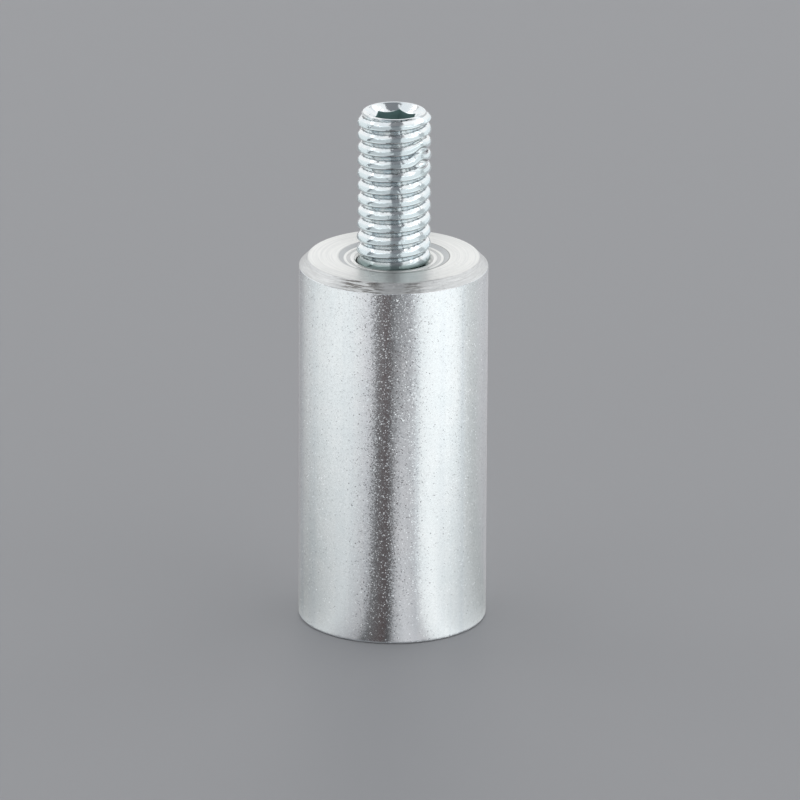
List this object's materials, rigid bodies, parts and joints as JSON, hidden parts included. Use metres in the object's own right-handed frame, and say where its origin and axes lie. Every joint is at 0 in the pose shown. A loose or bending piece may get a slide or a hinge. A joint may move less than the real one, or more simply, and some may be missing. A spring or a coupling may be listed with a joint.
{
  "type": "pot magnet",
  "caption": "Deep cylindrical pot magnet in zinc-plated steel that holds by its lower face, with a threaded stud with a hexagon socket out of its back.",
  "frame": {"origin": "centre of the magnetic face, which is the bottom of the pot's bounding box", "axes": "+Z along the pot's axis, from the magnetic face to the stud; azimuth 270 degrees (-Y) faces the picture's camera"},
  "size_m": [0.01, 0.01, 0.028],
  "materials": {
    "pot_zinc": "turned steel with bright zinc plating",
    "stud_zinc": "rolled thread with bright zinc plating",
    "magnet_nickel": "sintered magnet with nickel plating, ground end face",
    "sleeve_brass": "turned brass, faced flush"
  },
  "bodies": {
    "root": {"steel_pot": "pot_zinc", "threaded_stud": "stud_zinc", "magnet_rod": "magnet_nickel", "spacer_sleeve": "sleeve_brass"}
  },
  "joints": []
}
